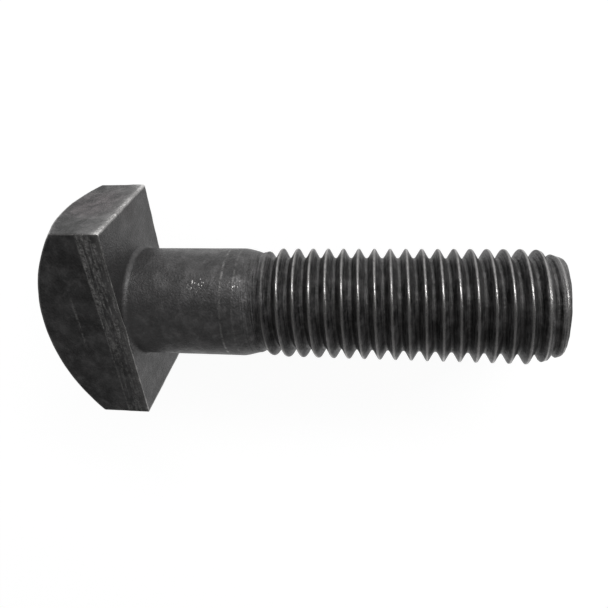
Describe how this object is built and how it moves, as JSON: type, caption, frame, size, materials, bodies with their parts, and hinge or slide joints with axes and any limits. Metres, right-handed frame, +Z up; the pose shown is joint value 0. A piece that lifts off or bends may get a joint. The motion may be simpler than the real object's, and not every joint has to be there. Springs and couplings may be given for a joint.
{
  "type": "t slot bolt",
  "caption": "Steel bolt with a rectangular head, domed on top, a round shank and a threaded end, made to hook into a T slot and take a nut.",
  "frame": {"origin": "on the bolt's axis, in the plane of the two bearing faces under the head", "axes": "+X along the bolt towards the threaded end, Y along the length of the head, +Z up, away from the long side of the head that the bolt lies on"},
  "size_m": [0.0833, 0.035, 0.019],
  "materials": {
    "black_steel": "black oxide on forged and rolled steel, dull with worn bright edges and thread crests"
  },
  "bodies": {
    "root": {"t_slot_bolt": "black_steel"}
  },
  "joints": []
}
